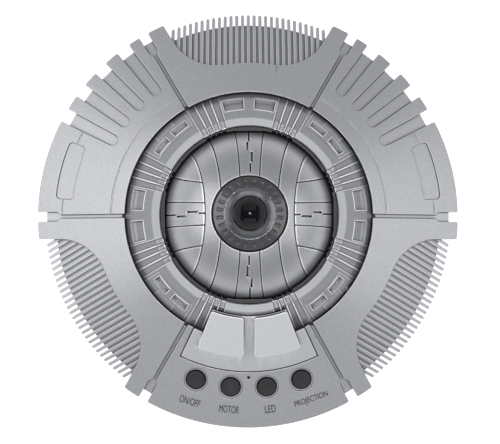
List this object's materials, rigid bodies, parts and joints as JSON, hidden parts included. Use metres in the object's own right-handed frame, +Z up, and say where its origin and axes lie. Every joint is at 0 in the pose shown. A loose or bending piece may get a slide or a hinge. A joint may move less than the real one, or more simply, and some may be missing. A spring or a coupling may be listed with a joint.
{
  "type": "planetarium projector",
  "caption": "Saucer-shaped home star projector with a tilting lens ball in a raised collar, slotted deck panels, push buttons on the front and a power inlet at the rear.",
  "frame": {"origin": "on the vertical axis of the saucer, at the level of the table that its foot ring stands on", "axes": "+Z up along the axis of the saucer, -Y towards the control buttons at the front, +X to the right"},
  "size_m": [0.2198, 0.2162, 0.1055],
  "materials": {
    "silver_shell": "satin silver paint on moulded plastic",
    "silver_grille": "satin silver paint on moulded plastic",
    "grey_base": "moulded dark grey plastic, fine grain",
    "black_plastic": "moulded black plastic",
    "smoked_trim": "smoked translucent plastic",
    "black_gloss": "polished dark grey plastic",
    "button_grey": "soft matt dark grey",
    "white_plastic": "natural acetal",
    "rubber_black": "matt",
    "clear_glass": "coated optical glass",
    "steel": "nickel plated",
    "brass": "turned",
    "aluminium": "extruded, plain",
    "circuit_board": "green solder mask",
    "chip_black": "moulded epoxy",
    "lamp_white": "diffusing resin"
  },
  "bodies": {
    "base": {"deck_housing": "silver_shell", "rear_arm_panel": "silver_shell", "left_arm_panel": "silver_shell", "right_arm_panel": "silver_shell", "right_finger_panel": "silver_shell", "left_finger_panel": "silver_shell", "control_panel": "silver_shell", "front_ramp": "silver_shell", "collar_ring": "silver_shell", "rear_rib_grille": "silver_grille", "left_rib_grille": "silver_grille", "right_rib_grille": "silver_grille", "base_pan": "grey_base", "left_pivot_bracket": "black_plastic", "right_pivot_bracket": "black_plastic", "trim_ring": "smoked_trim", "foot_ring": "rubber_black", "friction_washers": "rubber_black", "base_screws": "steel", "power_socket": "steel", "pivot_bushings": "brass", "lamp_board": "circuit_board", "button_board": "circuit_board", "main_board": "circuit_board", "board_components": "chip_black", "tact_switches": "chip_black", "lamp_chips": "lamp_white", "indicator_light": "lamp_white"},
    "ball": {"ball_upper_shell": "silver_shell", "ball_lower_shell": "silver_shell", "left_side_cap": "silver_shell", "right_side_cap": "silver_shell", "left_pivot_pin": "steel", "right_pivot_pin": "steel", "optics_plate": "black_plastic", "lens_sleeve": "black_plastic", "idler_axle": "steel", "motor": "steel", "condenser_lens": "clear_glass", "projection_led": "lamp_white", "heat_sink": "aluminium"},
    "focus_wheel": {"focus_ring": "black_gloss", "focus_bezel": "black_gloss"},
    "lens_carrier": {"lens_barrel": "black_plastic", "front_lens": "clear_glass", "rear_lens": "clear_glass", "lens_retainer": "black_plastic"},
    "star_carrier": {"disc_gear": "white_plastic", "star_disc": "clear_glass", "disc_clamp": "steel"},
    "idler": {"idler_gear": "white_plastic"},
    "pinion": {"motor_pinion": "white_plastic"},
    "on_off_key": {"on_off_button": "button_grey"},
    "motor_key": {"motor_button": "button_grey"},
    "led_key": {"led_button": "button_grey"},
    "projection_key": {"projection_button": "button_grey"}
  },
  "joints": [
    {"name": "ball_tilt", "type": "hinge", "parent": "base", "child": "ball", "pos_m": [0, 0, 0.0545], "axis": [1, 0, 0], "range_deg": [-30, 30]},
    {"name": "focus_turn", "type": "hinge", "parent": "ball", "child": "focus_wheel", "pos_m": [0, 0, 0.0545], "axis": [0, 0, 1], "range_deg": [-45, 45]},
    {"name": "lens_focus", "type": "slide", "parent": "ball", "child": "lens_carrier", "axis": [0, 0, 1], "range_m": [-0.0012, 0.0012]},
    {"name": "star_spin", "type": "hinge", "parent": "ball", "child": "star_carrier", "pos_m": [0, 0, 0.0545], "axis": [0, 0, 1], "continuous": true},
    {"name": "idler_spin", "type": "hinge", "parent": "ball", "child": "idler", "pos_m": [0, -0.032, 0.0545], "axis": [0, 0, 1], "continuous": true},
    {"name": "pinion_spin", "type": "hinge", "parent": "ball", "child": "pinion", "pos_m": [0.012, -0.032, 0.0545], "axis": [0, 0, 1], "continuous": true},
    {"name": "on_off_press", "type": "slide", "parent": "base", "child": "on_off_key", "axis": [0, 0, -1], "range_m": [0, 0.0012], "stiffness_N_per_m": 600, "springref_m": -0.0006},
    {"name": "motor_press", "type": "slide", "parent": "base", "child": "motor_key", "axis": [0, 0, -1], "range_m": [0, 0.0012], "stiffness_N_per_m": 600, "springref_m": -0.0006},
    {"name": "led_press", "type": "slide", "parent": "base", "child": "led_key", "axis": [0, 0, -1], "range_m": [0, 0.0012], "stiffness_N_per_m": 600, "springref_m": -0.0006},
    {"name": "projection_press", "type": "slide", "parent": "base", "child": "projection_key", "axis": [0, 0, -1], "range_m": [0, 0.0012], "stiffness_N_per_m": 600, "springref_m": -0.0006}
  ],
  "couplings": [
    {"joint": "lens_focus", "follows": "focus_turn", "m_per_rad": 0.001527},
    {"joint": "idler_spin", "follows": "star_spin", "ratio": -3},
    {"joint": "pinion_spin", "follows": "star_spin", "ratio": 6}
  ]
}
